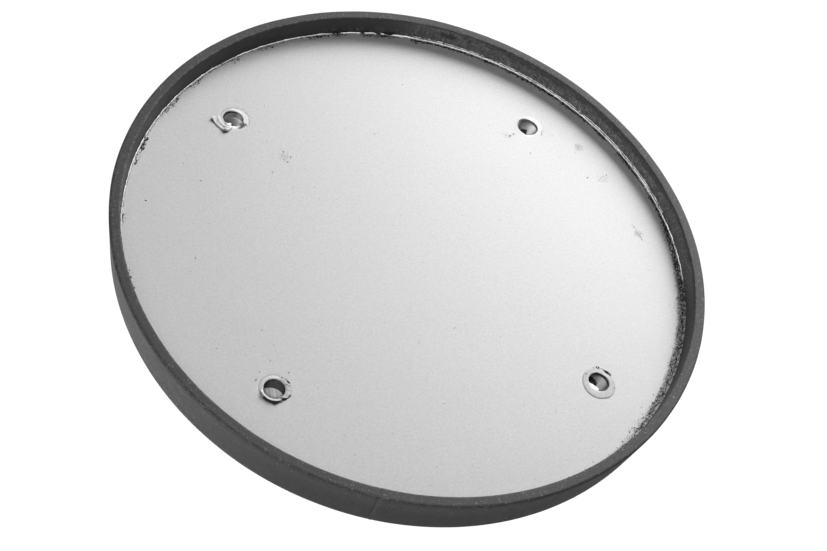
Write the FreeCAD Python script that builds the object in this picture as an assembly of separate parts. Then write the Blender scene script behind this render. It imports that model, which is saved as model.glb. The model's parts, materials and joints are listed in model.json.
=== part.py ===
import FreeCAD, Part
import math
import os

# Traffic convex mirror head, upright as it hangs on its post bracket, in millimetres.
# The mirror faces -Y, the white back faces +Y and +Z is up. The origin is the centre of the
# four back inserts, on the rear plane of the back skin. Left and right are as seen from behind.

MIRROR_DIAMETER = 450.0
RIM_RADIUS = MIRROR_DIAMETER / 2.0

# Layers behind the mirror, from the rear plane (Y = 0) towards the front (-Y).
SKIN_THICKNESS = 1.0
BOARD_THICKNESS = 14.0
MIRROR_THICKNESS = 2.5
LAYER_RADIUS = 218.0

SKIN_FRONT = -SKIN_THICKNESS
BOARD_FRONT = SKIN_FRONT - BOARD_THICKNESS
MIRROR_FLANGE_FRONT = BOARD_FRONT - MIRROR_THICKNESS

# Convex mirror sheet: a spherical dome inside a flat flange.
DOME_RADIUS = 1500.0
DOME_EDGE_RADIUS = 202.5

# Rubber rim section: outer wall, rear lip around the recess, groove, front lip.
RIM_REAR = 16.3
RIM_FRONT = -29.5
RIM_FACE_WIDTH = 8.2
RIM_WALL_TAPER = 6.0
RIM_REAR_ROUND = 1.5
RIM_INNER_ROUND = 0.9
RIM_FRONT_ROUND = 11.0
RIM_LIP_ROUND = 2.0
REAR_LIP_FOOT_RADIUS = 215.0
FRONT_LIP_RADIUS = 203.5
GROOVE_CLEARANCE = 0.3
RIM_JOINT_ANGLE = 286.5
RIM_JOINT_GAP = 1.0

# Bead of sealant where the skin meets the rear lip.
BEAD_HEIGHT = 1.2
BEAD_WIDTH = 1.6
BEAD_GAP = 0.15

# Flanged insert nuts on a square pattern.
INSERT_SPACING = 240.0
BORE_RADIUS = 8.0
INSERT_FLANGE_RADIUS = 12.5
INSERT_FLANGE_THICKNESS = 1.5
INSERT_BARREL_RADIUS = 10.0
INSERT_LENGTH = 15.5
INSERT_TIP_ROUND = 0.8
BOARD_HOLE_CLEARANCE = 0.2

# White rings left standing round three of the holes.
RING_RADIUS = 12.8
RING_THICKNESS = 0.8
RING_ROUND = 0.3
TORN_RING_START = 15.0
TORN_RING_SWEEP = 120.0

AXIS_START = FreeCAD.Vector(0, 0, 0)
REARWARD = FreeCAD.Vector(0, 1, 0)


def corner(x, z):
    """Centre of one insert on the rear plane; x and z are +1 or -1."""
    half = INSERT_SPACING / 2.0
    return FreeCAD.Vector(x * half, 0, z * half)


CORNERS = {
    "upper_left": corner(+1, +1),
    "upper_right": corner(-1, +1),
    "lower_right": corner(-1, -1),
    "lower_left": corner(+1, -1),
}

# The lower left nut has been pulled out; its hole stays empty.
FILLED_CORNERS = ("upper_left", "upper_right", "lower_right")


def section_point(radius, y):
    return FreeCAD.Vector(radius, y, 0)


def rounded_outline(corners):
    """Closed wire through (radius, y, rounding) corners; every rounding is a tangent arc."""
    points = [section_point(radius, y) for radius, y, _ in corners]
    edges = []
    starts = []
    ends = []
    middles = []
    for i, (_, _, rounding) in enumerate(corners):
        here = points[i]
        before = (points[i - 1] - here).normalize()
        after = (points[(i + 1) % len(points)] - here).normalize()
        half_angle = before.getAngle(after) / 2.0
        setback = rounding / math.tan(half_angle)
        starts.append(here + before * setback)
        ends.append(here + after * setback)
        bisector = (before + after).normalize()
        reach = rounding / math.sin(half_angle) - rounding
        middles.append(here + bisector * reach)
    for i, (_, _, rounding) in enumerate(corners):
        if rounding > 0:
            edges.append(Part.Arc(starts[i], middles[i], ends[i]).toShape())
        following = (i + 1) % len(corners)
        edges.append(Part.LineSegment(ends[i], starts[following]).toShape())
    return Part.Wire(edges)


def turned(wire, degrees=360.0):
    """Solid swept by the section wire about the mirror's axis."""
    return Part.Face(wire).revolve(AXIS_START, REARWARD, degrees)


def disc(radius, rear, front):
    """Solid disc on the mirror's axis between two planes."""
    return Part.makeCylinder(radius, rear - front, FreeCAD.Vector(0, front, 0), REARWARD)


def cylinder_at(centre, radius, rear, front):
    """Cylinder parallel to the mirror's axis, through one insert centre."""
    base = FreeCAD.Vector(centre.x, front, centre.z)
    return Part.makeCylinder(radius, rear - front, base, REARWARD)


def rim_outline():
    """Rubber section: rear lip, outer wall and front lip round one groove for the layers."""
    groove_radius = LAYER_RADIUS + GROOVE_CLEARANCE
    front_outer = RIM_RADIUS - RIM_WALL_TAPER
    return rounded_outline([
        (RIM_RADIUS - RIM_FACE_WIDTH, RIM_REAR, RIM_INNER_ROUND),
        (RIM_RADIUS, RIM_REAR, RIM_REAR_ROUND),
        (front_outer, RIM_FRONT, RIM_FRONT_ROUND),
        (FRONT_LIP_RADIUS, RIM_FRONT, RIM_LIP_ROUND),
        (FRONT_LIP_RADIUS, MIRROR_FLANGE_FRONT, 0.0),
        (groove_radius, MIRROR_FLANGE_FRONT, 0.0),
        (groove_radius, 0.0, 0.0),
        (REAR_LIP_FOOT_RADIUS, 0.0, 0.0),
    ])


def rim_ring():
    """Extruded rubber strip bent to a ring, open by the width of its butt joint."""
    gap_angle = math.degrees(RIM_JOINT_GAP / RIM_RADIUS)
    ring = turned(rim_outline(), 360.0 - gap_angle)
    ring.rotate(AXIS_START, REARWARD, gap_angle / 2.0 - RIM_JOINT_ANGLE)
    return ring


def rim_joint():
    """Thin web of rubber cement that closes the butt joint of the rim."""
    gap_angle = math.degrees(RIM_JOINT_GAP / RIM_RADIUS)
    web = turned(rim_outline(), gap_angle)
    web.rotate(AXIS_START, REARWARD, -gap_angle / 2.0 - RIM_JOINT_ANGLE)
    return web


def seam_bead():
    """Ring of sealant, three-cornered in section, in the angle of skin and rear lip."""
    lip_slope = (RIM_RADIUS - RIM_FACE_WIDTH - REAR_LIP_FOOT_RADIUS) / RIM_REAR
    outer = REAR_LIP_FOOT_RADIUS - BEAD_GAP
    return turned(rounded_outline([
        (outer, 0.0, 0.0),
        (outer + BEAD_HEIGHT * lip_slope, BEAD_HEIGHT, 0.2),
        (outer - BEAD_WIDTH, 0.0, 0.0),
    ]))


def back_skin():
    """White rear sheet with the four bolt holes."""
    skin = disc(LAYER_RADIUS, 0.0, SKIN_FRONT)
    for centre in CORNERS.values():
        skin = skin.cut(cylinder_at(centre, BORE_RADIUS, 0.0, SKIN_FRONT))
    return skin.Solids[0]


def core_board():
    """Dark backing board, bored and counterbored for the insert nuts."""
    board = disc(LAYER_RADIUS, SKIN_FRONT, BOARD_FRONT)
    seat_floor = SKIN_FRONT - INSERT_FLANGE_THICKNESS
    for centre in CORNERS.values():
        hole = cylinder_at(centre, INSERT_BARREL_RADIUS + BOARD_HOLE_CLEARANCE, SKIN_FRONT, BOARD_FRONT)
        seat = cylinder_at(centre, INSERT_FLANGE_RADIUS + BOARD_HOLE_CLEARANCE, SKIN_FRONT, seat_floor)
        board = board.cut(hole.fuse(seat))
    return board.Solids[0]


def mirror_face():
    """Silvered sheet: flat flange in the rim's groove and a dome that bulges to the front."""
    edge_y = BOARD_FRONT
    centre_y = edge_y + math.sqrt(DOME_RADIUS ** 2 - DOME_EDGE_RADIUS ** 2)

    def on_sphere(sphere_radius, radius):
        return section_point(radius, centre_y - math.sqrt(sphere_radius ** 2 - radius ** 2))

    outer_sphere = DOME_RADIUS + MIRROR_THICKNESS
    flange_drop = centre_y - MIRROR_FLANGE_FRONT
    outer_edge_radius = math.sqrt(outer_sphere ** 2 - flange_drop ** 2)
    back_apex = on_sphere(DOME_RADIUS, 0.0)
    back_edge = on_sphere(DOME_RADIUS, DOME_EDGE_RADIUS)
    front_apex = on_sphere(outer_sphere, 0.0)
    front_edge = section_point(outer_edge_radius, MIRROR_FLANGE_FRONT)
    rear_corner = section_point(LAYER_RADIUS, edge_y)
    front_corner = section_point(LAYER_RADIUS, MIRROR_FLANGE_FRONT)
    half = DOME_EDGE_RADIUS / 2.0
    outline = Part.Wire([
        Part.Arc(back_apex, on_sphere(DOME_RADIUS, half), back_edge).toShape(),
        Part.LineSegment(back_edge, rear_corner).toShape(),
        Part.LineSegment(rear_corner, front_corner).toShape(),
        Part.LineSegment(front_corner, front_edge).toShape(),
        Part.Arc(front_edge, on_sphere(outer_sphere, half), front_apex).toShape(),
        Part.LineSegment(front_apex, back_apex).toShape(),
    ])
    return turned(outline)


def insert_nut(centre):
    """Flanged sleeve under the skin; its bore carries the bracket bolt."""
    flange_front = SKIN_FRONT - INSERT_FLANGE_THICKNESS
    barrel_front = SKIN_FRONT - INSERT_LENGTH
    nut = turned(rounded_outline([
        (BORE_RADIUS, SKIN_FRONT, 0.0),
        (INSERT_FLANGE_RADIUS, SKIN_FRONT, 0.0),
        (INSERT_FLANGE_RADIUS, flange_front, 0.0),
        (INSERT_BARREL_RADIUS, flange_front, 0.0),
        (INSERT_BARREL_RADIUS, barrel_front, INSERT_TIP_ROUND),
        (BORE_RADIUS, barrel_front, 0.0),
    ]))
    nut.translate(centre)
    return nut


def hole_ring(centre, start=0.0, sweep=360.0):
    """White ring on the skin round one hole, whole or torn to a part of its turn."""
    ring = turned(rounded_outline([
        (BORE_RADIUS, 0.0, 0.0),
        (RING_RADIUS, 0.0, 0.0),
        (RING_RADIUS, RING_THICKNESS, RING_ROUND),
        (BORE_RADIUS, RING_THICKNESS, 0.0),
    ]), sweep)
    ring.rotate(AXIS_START, REARWARD, -start)
    ring.translate(centre)
    return ring


def build():
    pieces = {
        "rim_ring": rim_ring(),
        "rim_joint": rim_joint(),
        "seam_bead": seam_bead(),
        "back_skin": back_skin(),
        "core_board": core_board(),
        "mirror_face": mirror_face(),
        "hole_ring_upper_left": hole_ring(CORNERS["upper_left"], TORN_RING_START, TORN_RING_SWEEP),
        "hole_ring_lower_right": hole_ring(CORNERS["lower_right"]),
        "hole_ring_lower_left": hole_ring(CORNERS["lower_left"]),
    }
    for place in FILLED_CORNERS:
        pieces["insert_nut_" + place] = insert_nut(CORNERS[place])
    return pieces


os.makedirs("parts", exist_ok=True)
for name, shape in build().items():
    print(name, shape.isValid(), round(shape.Volume), "mm3")
    shape.exportStep("parts/" + name + ".step")
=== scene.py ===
"""Looks of a traffic convex mirror head, seen from behind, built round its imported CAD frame.

Metres, in the frame of the part: the mirror faces -Y, its white back faces +Y, +Z is up.
Angles "round the head" are degrees as seen from behind, anticlockwise from the right.
"""

import json
import math
import random

import bmesh
import bpy
from mathutils import Matrix, Vector, noise
from mathutils.geometry import delaunay_2d_cdt


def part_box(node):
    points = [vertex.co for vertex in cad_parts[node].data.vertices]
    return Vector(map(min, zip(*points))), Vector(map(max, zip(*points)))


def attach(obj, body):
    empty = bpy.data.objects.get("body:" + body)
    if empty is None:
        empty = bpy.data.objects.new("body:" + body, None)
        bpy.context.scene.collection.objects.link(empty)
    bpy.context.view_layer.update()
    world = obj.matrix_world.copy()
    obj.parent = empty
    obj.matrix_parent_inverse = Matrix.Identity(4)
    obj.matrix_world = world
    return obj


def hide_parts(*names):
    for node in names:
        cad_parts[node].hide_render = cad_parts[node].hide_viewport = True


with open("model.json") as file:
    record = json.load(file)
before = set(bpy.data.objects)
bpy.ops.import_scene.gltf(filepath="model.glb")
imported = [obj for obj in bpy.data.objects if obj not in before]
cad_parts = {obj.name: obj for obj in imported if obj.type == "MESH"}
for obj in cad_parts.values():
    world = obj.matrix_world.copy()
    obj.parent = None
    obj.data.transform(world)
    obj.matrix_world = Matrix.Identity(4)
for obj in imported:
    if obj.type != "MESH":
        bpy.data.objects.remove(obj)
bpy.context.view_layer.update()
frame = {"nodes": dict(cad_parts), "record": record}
NODES = frame["nodes"]
MM = 0.001

# ---------------------------------------------------------------- sizes, read from the frame
rim_low, rim_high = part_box("rim_ring")
skin_low, skin_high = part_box("back_skin")
board_low, board_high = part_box("core_board")
mirror_low, mirror_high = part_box("mirror_face")
nut_low, nut_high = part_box("insert_nut_upper_right")

RIM_R = rim_high.x
RIM_REAR = rim_high.y
RIM_FRONT = rim_low.y
SKIN_R = skin_high.x
REAR_PLANE = skin_high.y
SKIN_FRONT = skin_low.y
BOARD_FRONT = board_low.y
PATTERN = frame["record"]["mounts"][0]["dims"]
HALF_X = PATTERN["spacing_x_mm"] * MM / 2
HALF_Z = PATTERN["spacing_y_mm"] * MM / 2
BORE_R = PATTERN["hole_r_mm"] * MM
HOLES = {
    "upper_left": (HALF_X, HALF_Z),
    "upper_right": (-HALF_X, HALF_Z),
    "lower_right": (-HALF_X, -HALF_Z),
    "lower_left": (HALF_X, -HALF_Z),
}

# Rim section, as in the CAD rim.
FACE_WIDTH = 8.2 * MM
WALL_TAPER = 6.0 * MM
REAR_ROUND = 1.5 * MM
INNER_ROUND = 0.9 * MM
FRONT_ROUND = 11.0 * MM
LIP_ROUND = 2.0 * MM
FOOT_R = 215.0 * MM
FRONT_LIP_R = 203.5 * MM
GROOVE_R = SKIN_R + 0.3 * MM
MIRROR_T = 2.5 * MM
FLANGE_FRONT = BOARD_FRONT - MIRROR_T
DOME_R = 1500.0 * MM
DOME_EDGE_R = 202.5 * MM
JOINT_ANGLE = 253.0

# ---------------------------------------------------------------- small helpers


def around(angle, radius, y):
    """Point at that angle round the head, as seen from behind."""
    a = math.radians(angle)
    return Vector((-radius * math.cos(a), y, radius * math.sin(a)))


def angle_of(point):
    """Angle of a point round the head, 0 to 360 degrees, as seen from behind."""
    return math.degrees(math.atan2(point.z, -point.x)) % 360


def ripple(angle, size, third):
    """Smooth noise round the head that meets itself; a larger size gives shorter waves."""
    a = math.radians(angle)
    return noise.noise(Vector((math.cos(a) * size, math.sin(a) * size, third)))


def local(hole, u, v, y=0.0):
    """Point u to the right and v up from a hole's centre, as seen from behind; u, v, y in mm."""
    cx, cz = HOLES[hole]
    return Vector((cx - u * MM, REAR_PLANE + y * MM, cz + v * MM))


def clamp01(value):
    return min(1.0, max(0.0, value))


def step(low, high, value):
    """0 at low and 1 at high, eased between them; low may be the larger."""
    t = clamp01((value - low) / (high - low))
    return t * t * (3 - 2 * t)


def turn_gap(a, b):
    """Smallest difference between two angles, in degrees."""
    return abs((a - b + 180) % 360 - 180)


def within(angle, start, end, soft=4.0):
    """1 inside the arc from start to end (anticlockwise), fading over soft degrees."""
    span = (end - start) % 360
    middle = start + span / 2
    return 1 - step(span / 2 - soft, span / 2 + soft, turn_gap(angle, middle))


def rough(x, y, z, scale):
    """Fractal noise in about -1..1 at a place given in metres, features 1/scale metres wide."""
    return noise.fractal(Vector((x * scale, y * scale, z * scale)), 1.0, 2.0, 3)


def new_mesh(name, verts, faces, material, smooth=True, attributes=None):
    """Object with one material; attributes are per-point numbers that its shader reads."""
    mesh = bpy.data.meshes.new(name)
    mesh.from_pydata([tuple(v) for v in verts], [], faces)
    mesh.validate()
    for label, values in (attributes or {}).items():
        layer = mesh.attributes.new(label, "FLOAT", "POINT")
        layer.data.foreach_set("value", values)
    if smooth:
        mesh.polygons.foreach_set("use_smooth", [True] * len(mesh.polygons))
    piece = bpy.data.objects.new(name, mesh)
    bpy.context.scene.collection.objects.link(piece)
    piece.data.materials.append(material)
    return piece


def place(piece, slot, *nodes):
    """Rides the piece on the root body and hides the CAD nodes it stands for; slot is not used."""
    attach(piece, "root")
    if nodes:
        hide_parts(*nodes)
    return piece


def edit_mesh(piece, change):
    """Runs change on the piece's mesh as a bmesh."""
    bm = bmesh.new()
    bm.from_mesh(piece.data)
    change(bm)
    bm.to_mesh(piece.data)
    bm.free()
    return piece


def fix_normals(piece):
    return edit_mesh(piece, lambda bm: bmesh.ops.recalc_face_normals(bm, faces=bm.faces))


def drop_loose(bm):
    bmesh.ops.delete(bm, geom=[v for v in bm.verts if not v.link_faces], context="VERTS")


def rounded(corners, step_mm=0.8):
    """Section through (radius, y, rounding) corners as points about step_mm apart."""
    points = [Vector((r, y)) for r, y, _ in corners]
    out = []
    count = len(corners)
    for i, (_, _, rounding) in enumerate(corners):
        here = points[i]
        before = (points[i - 1] - here).normalized()
        after = (points[(i + 1) % count] - here).normalized()
        if rounding > 0:
            half = before.angle(after) / 2
            centre = here + (before + after).normalized() * (rounding / math.sin(half))
            first = here + before * (rounding / math.tan(half)) - centre
            sweep = math.pi - 2 * half
            side = math.copysign(1, before.x * after.y - before.y * after.x)
            pieces = max(3, int(rounding * sweep / (step_mm * MM)))
            for k in range(pieces + 1):
                t = -side * sweep * k / pieces
                out.append(centre + Vector((first.x * math.cos(t) - first.y * math.sin(t),
                                            first.x * math.sin(t) + first.y * math.cos(t))))
        else:
            out.append(here)
    dense = []
    for i, p in enumerate(out):
        q = out[(i + 1) % len(out)]
        runs = max(1, int((q - p).length / (step_mm * MM)))
        dense.extend(p.lerp(q, k / runs) for k in range(runs))
    return dense


def lathe(section, segments, shape=None):
    """Closed ring swept from a closed section; shape(angle, radius, y) may move each point."""
    verts = []
    for s in range(segments):
        angle = 360.0 * s / segments
        for p in section:
            r, y = shape(angle, p.x, p.y) if shape else (p.x, p.y)
            verts.append(around(angle, r, y))
    m = len(section)
    faces = []
    for s in range(segments):
        t = (s + 1) % segments
        for i in range(m):
            j = (i + 1) % m
            faces.append((s * m + i, s * m + j, t * m + j, t * m + i))
    return verts, faces


# ---------------------------------------------------------------- materials


class Graph:
    """A node tree with short ways to fill it."""

    def __init__(self, tree):
        self.tree = tree

    def add(self, kind, inputs=None, **settings):
        """New node; inputs gives each socket a constant or another node's output."""
        node = self.tree.nodes.new(kind)
        for key, value in settings.items():
            setattr(node, key, value)
        for key, value in (inputs or {}).items():
            self.put(value, node.inputs[key])
        return node

    def put(self, value, socket):
        if isinstance(value, bpy.types.NodeSocket):
            self.tree.links.new(value, socket)
        else:
            socket.default_value = value

    def map_range(self, value, low, high, from_low=0.0, from_high=1.0, curve="LINEAR"):
        return self.add("ShaderNodeMapRange", {
            "Value": value, "From Min": from_low, "From Max": from_high,
            "To Min": low, "To Max": high}, interpolation_type=curve).outputs["Result"]


class Shader(Graph):
    """One Principled material and the texture nodes that this object needs."""

    def __init__(self, name, roughness=0.5, metallic=0.0, specular=0.5):
        self.material = bpy.data.materials.new(name)
        self.material.use_nodes = True
        super().__init__(self.material.node_tree)
        self.bsdf = self.tree.nodes["Principled BSDF"]
        self.bsdf.inputs["Roughness"].default_value = roughness
        self.bsdf.inputs["Metallic"].default_value = metallic
        self.bsdf.inputs["Specular IOR Level"].default_value = specular
        self.place = self.add("ShaderNodeTexCoord").outputs["Object"]

    def stretched(self, x, y, z, vector=None):
        node = self.add("ShaderNodeMapping", {"Scale": (x, y, z), "Vector": vector or self.place})
        return node.outputs["Vector"]

    def lengthwise(self, along, radial, depth):
        """Coordinates that run round the head, so that texture can follow the moulding lines."""
        x, y, z = self.add("ShaderNodeSeparateXYZ", {0: self.place}).outputs
        angle = self.add("ShaderNodeMath", {0: z, 1: x}, operation="ARCTAN2")
        flat = self.add("ShaderNodeCombineXYZ", {"X": x, "Z": z})
        length = self.add("ShaderNodeVectorMath", {0: flat.outputs[0]}, operation="LENGTH")
        joined = self.add("ShaderNodeCombineXYZ", {
            "X": angle.outputs[0], "Y": length.outputs["Value"], "Z": y})
        return self.stretched(along, radial, depth, joined.outputs[0])

    def noise(self, scale, detail=4.0, rough=0.55, vector=None):
        return self.add("ShaderNodeTexNoise", {
            "Scale": scale, "Detail": detail, "Roughness": rough,
            "Vector": vector or self.place}).outputs["Fac"]

    def ramp(self, value, *stops):
        """Colour ramp; stops are (position, grey level or colour)."""
        node = self.add("ShaderNodeValToRGB", {"Fac": value})
        ramp = node.color_ramp
        while len(ramp.elements) < len(stops):
            ramp.elements.new(0.5)
        for element, (position, colour) in zip(ramp.elements, stops):
            element.position = position
            tone = colour if isinstance(colour, tuple) else (colour, colour, colour)
            element.color = (*tone, 1.0)
        return node.outputs["Color"]

    def attribute(self, name):
        return self.add("ShaderNodeAttribute", attribute_name=name).outputs["Fac"]

    def mix(self, factor, a, b, blend="MIX"):
        """Blend of two colours; a plain number for a or b is a grey level."""
        a, b = ((c, c, c, 1.0) if isinstance(c, float) else c for c in (a, b))
        return self.add("ShaderNodeMix", {0: factor, 6: a, 7: b},
                        data_type="RGBA", blend_type=blend).outputs[2]

    def colour(self, value):
        self.put(value, self.bsdf.inputs["Base Color"])

    def gloss(self, value, low, high):
        """Roughness that follows a value."""
        self.put(self.map_range(value, low, high), self.bsdf.inputs["Roughness"])

    def bump(self, *layers):
        """Layers are (value, height in mm)."""
        socket = self.bsdf.inputs["Normal"]
        for value, height in reversed(layers):
            node = self.add("ShaderNodeBump", {"Strength": 1.0, "Distance": height * MM, "Height": value})
            self.put(node.outputs["Normal"], socket)
            socket = node.inputs["Normal"]


def rubber_material():
    s = Shader("rubber_rim", specular=0.5)
    grain = s.noise(1500.0, 3.0, 0.6)
    mottle = s.noise(170.0, 5.0, 0.6)
    cloud = s.noise(22.0, 3.0, 0.5)
    blotches = s.ramp(mottle, (0.32, 0.058), (0.70, 0.105))
    body = s.mix(0.5, blotches, s.ramp(cloud, (0.35, 0.068), (0.65, 0.096)))
    body = s.mix(0.45, body, s.ramp(grain, (0.33, 0.045), (0.67, 0.150)))
    lines = s.noise(1.0, 3.0, 0.6, s.lengthwise(9.0, 1100.0, 700.0))
    body = s.mix(s.ramp(lines, (0.60, 0.0), (0.78, 0.55)), body, 0.17)
    speck = s.ramp(s.noise(640.0, 2.0, 0.5), (0.62, 0.0), (0.72, 1.0))
    body = s.mix(speck, body, 0.26)
    # Painted sheen: the rubber darkens towards one side of the head.
    body = s.mix(1.0, body, s.ramp(s.attribute("dust_and_sheen"), (0.0, 0.60), (1.0, 1.0)), "MULTIPLY")
    # Painted shade on the inner wall and on the lower outer wall.
    body = s.mix(s.attribute("painted_wall_shade"), body, s.ramp(grain, (0.3, 0.030), (0.7, 0.062)))
    powder = s.noise(520.0, 4.0, 0.7)
    body = s.mix(s.attribute("smear"), body, s.ramp(powder, (0.36, 0.09), (0.52, 0.22), (0.66, 0.40)))
    body = s.mix(s.attribute("grime"), body, 0.022)
    body = s.mix(s.attribute("wear"), body, 0.17)
    s.colour(body)
    s.gloss(mottle, 0.52, 0.76)
    s.bump((mottle, 0.25), (grain, 0.22), (lines, 0.10))
    return s.material


def skin_material():
    s = Shader("white_skin", specular=0.95)
    fine = s.noise(560.0, 4.0, 0.65)
    medium = s.noise(160.0, 4.0, 0.55)
    cloud = s.noise(9.0, 3.0, 0.5)
    paint = s.ramp(fine, (0.32, 0.60), (0.68, 0.93))
    body = s.mix(0.5, paint, s.ramp(medium, (0.3, 0.75), (0.7, 0.82)))
    body = s.mix(0.25, body, s.ramp(cloud, (0.3, 0.76), (0.7, 0.81)))
    speck = s.ramp(s.noise(430.0, 2.0, 0.5), (0.70, 0.0), (0.75, 0.6))
    body = s.mix(speck, body, 0.48)
    grit = s.noise(620.0, 4.0, 0.75)
    soiled = s.add("ShaderNodeMath", {0: s.attribute("dirt"), 1: 0.70, 2: grit}, operation="MULTIPLY_ADD")
    body = s.mix(s.attribute("pale"), body, 0.90)
    where = s.ramp(soiled.outputs[0], (0.64, 0.0), (0.94, 0.96))
    body = s.mix(where, body, s.ramp(grit, (0.42, 0.012), (0.54, 0.05), (0.66, 0.32)))
    # Painted shadow: near black where lifted edges beside the holes throw shade.
    body = s.mix(s.attribute("painted_shadow"), body, s.ramp(medium, (0.3, 0.012), (0.7, 0.04)))
    s.colour(body)
    s.gloss(medium, 0.31, 0.39)
    s.bump((medium, 0.05), (fine, 0.04))
    return s.material


def sealant_material():
    s = Shader("sealant", specular=0.5)
    grain = s.noise(700.0, 4.0, 0.65)
    clean = s.ramp(grain, (0.3, 0.55), (0.65, 0.92))
    dirty = s.ramp(grain, (0.44, 0.015), (0.66, 0.26))
    s.colour(s.mix(s.attribute("dirt"), clean, dirty))
    s.gloss(grain, 0.35, 0.7)
    s.bump((grain, 0.3))
    return s.material


def steel_material():
    s = Shader("insert_steel", metallic=0.45)
    rings = s.noise(1.0, 3.0, 0.6, s.stretched(60.0, 2600.0, 60.0))
    streaks = s.noise(1.0, 4.0, 0.6, s.stretched(900.0, 40.0, 900.0))
    patina = s.noise(260.0, 3.0, 0.5)
    turned = s.ramp(rings, (0.3, 0.74), (0.7, 0.96))
    tone = s.mix(0.5, turned, s.ramp(streaks, (0.35, 0.66), (0.65, 0.98)))
    tone = s.mix(0.3, tone, s.ramp(patina, (0.35, 0.55), (0.6, 0.95)))
    # Painted reflection: the bore is darkened outside its painted bright bands.
    tone = s.mix(s.attribute("painted_reflection_shade"), tone, s.ramp(patina, (0.3, 0.10), (0.7, 0.24)))
    # Painted shade: darker mouth of the bore.
    tone = s.mix(s.attribute("mouth"), tone, s.ramp(streaks, (0.3, 0.05), (0.7, 0.13)))
    # Painted shade: near black in the bore's mouth, in one arc and in the thread grooves.
    s.colour(s.mix(s.attribute("painted_bore_shade"), tone, s.ramp(streaks, (0.3, 0.008), (0.7, 0.03))))
    s.gloss(streaks, 0.20, 0.42)
    s.bump((rings, 0.05), (streaks, 0.04))
    return s.material


def board_material():
    s = Shader("board", specular=0.2)
    fibre = s.noise(1.0, 5.0, 0.65, s.stretched(500.0, 2200.0, 500.0))
    tone = s.ramp(fibre, (0.3, (0.050, 0.048, 0.046)), (0.7, (0.15, 0.145, 0.14)))
    flat = s.stretched(1.0, 0.0, 1.0)
    # Painted shade: the board is turned near black round the upper and lower right bores, where it lies in
    # shade.
    for hole in ("upper_right", "lower_right"):
        centre = (HOLES[hole][0], 0.0, HOLES[hole][1])
        away = s.add("ShaderNodeVectorMath", {0: flat, 1: centre}, operation="DISTANCE")
        tone = s.mix(s.ramp(away.outputs["Value"], (0.014, 1.0), (0.018, 0.0)), tone, 0.010)
    s.colour(tone)
    s.gloss(fibre, 0.75, 0.95)
    s.bump((fibre, 0.3))
    return s.material


def coat_material():
    s = Shader("mirror_back_coat", specular=0.3)
    wide = s.noise(1.0, 2.0, 0.5, s.stretched(430.0, 0.0, 6.0))
    narrow = s.noise(1.0, 3.0, 0.6, s.stretched(1500.0, 0.0, 12.0))
    bands = s.ramp(wide, (0.38, 0.30), (0.46, 0.62), (0.60, 0.90))
    tone = s.mix(0.45, bands, s.ramp(narrow, (0.3, 0.35), (0.7, 0.95)))
    # Painted shade: near black round the nuts.
    s.colour(s.mix(s.attribute("painted_hole_shade"), tone, s.ramp(narrow, (0.3, 0.008), (0.7, 0.02))))
    s.gloss(narrow, 0.45, 0.7)
    s.bump((narrow, 0.2))
    return s.material


def mirror_material():
    s = Shader("mirror_sheet", metallic=1.0)
    # Dust specks that dull the silver.
    dust_and_sheen = s.ramp(s.noise(1300.0, 3.0, 0.6), (0.62, 0.0), (0.80, 1.0))
    wipe = s.noise(1.0, 4.0, 0.6, s.stretched(16.0, 16.0, 5.0))
    silver = s.ramp(wipe, (0.3, (0.90, 0.915, 0.92)), (0.7, (0.95, 0.96, 0.965)))
    s.colour(s.mix(s.mix(0.12, 0.0, dust_and_sheen), silver, 0.6))
    s.gloss(wipe, 0.012, 0.045)
    s.bsdf.inputs["Coat Weight"].default_value = 0.6
    s.bsdf.inputs["Coat Roughness"].default_value = 0.02
    return s.material


def crumbly_material(name, grain, stops, gloss, relief, specular):
    """One noise, given as scale, detail and roughness, drives tone, gloss and a relief in mm."""
    s = Shader(name, specular=specular)
    tone = s.noise(*grain)
    s.colour(s.ramp(tone, *stops))
    s.gloss(tone, *gloss)
    s.bump((tone, relief))
    return s.material


RUBBER = rubber_material()
SKIN = skin_material()
SEALANT = sealant_material()
STEEL = steel_material()
BOARD = board_material()
COAT = coat_material()
MIRROR = mirror_material()
GRIT = crumbly_material("seam_grit", (900.0, 3.0, 0.6), ((0.35, 0.012), (0.65, 0.07)), (0.6, 0.95), 0.2, 0.3)
CHIP = crumbly_material("white_chip", (800.0, 3.0, 0.6), ((0.3, 0.66), (0.7, 0.88)), (0.35, 0.6), 0.12, 0.4)
FOIL = crumbly_material("bright_edge", (900.0, 4.0, 0.65), ((0.3, 0.8), (0.6, 0.98)), (0.26, 0.44),
                        0.05, 0.6)

# ---------------------------------------------------------------- rubber rim

RIM_SEGMENTS = 1440


def rim_section():
    return rounded([
        (RIM_R - FACE_WIDTH, RIM_REAR, INNER_ROUND),
        (RIM_R, RIM_REAR, REAR_ROUND),
        (RIM_R - WALL_TAPER, RIM_FRONT, FRONT_ROUND),
        (FRONT_LIP_R, RIM_FRONT, LIP_ROUND),
        (FRONT_LIP_R, FLANGE_FRONT, 0.0),
        (GROOVE_R, FLANGE_FRONT, 0.0),
        (GROOVE_R, REAR_PLANE, 0.0),
        (FOOT_R, REAR_PLANE, 0.0),
    ], 0.7)


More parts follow.
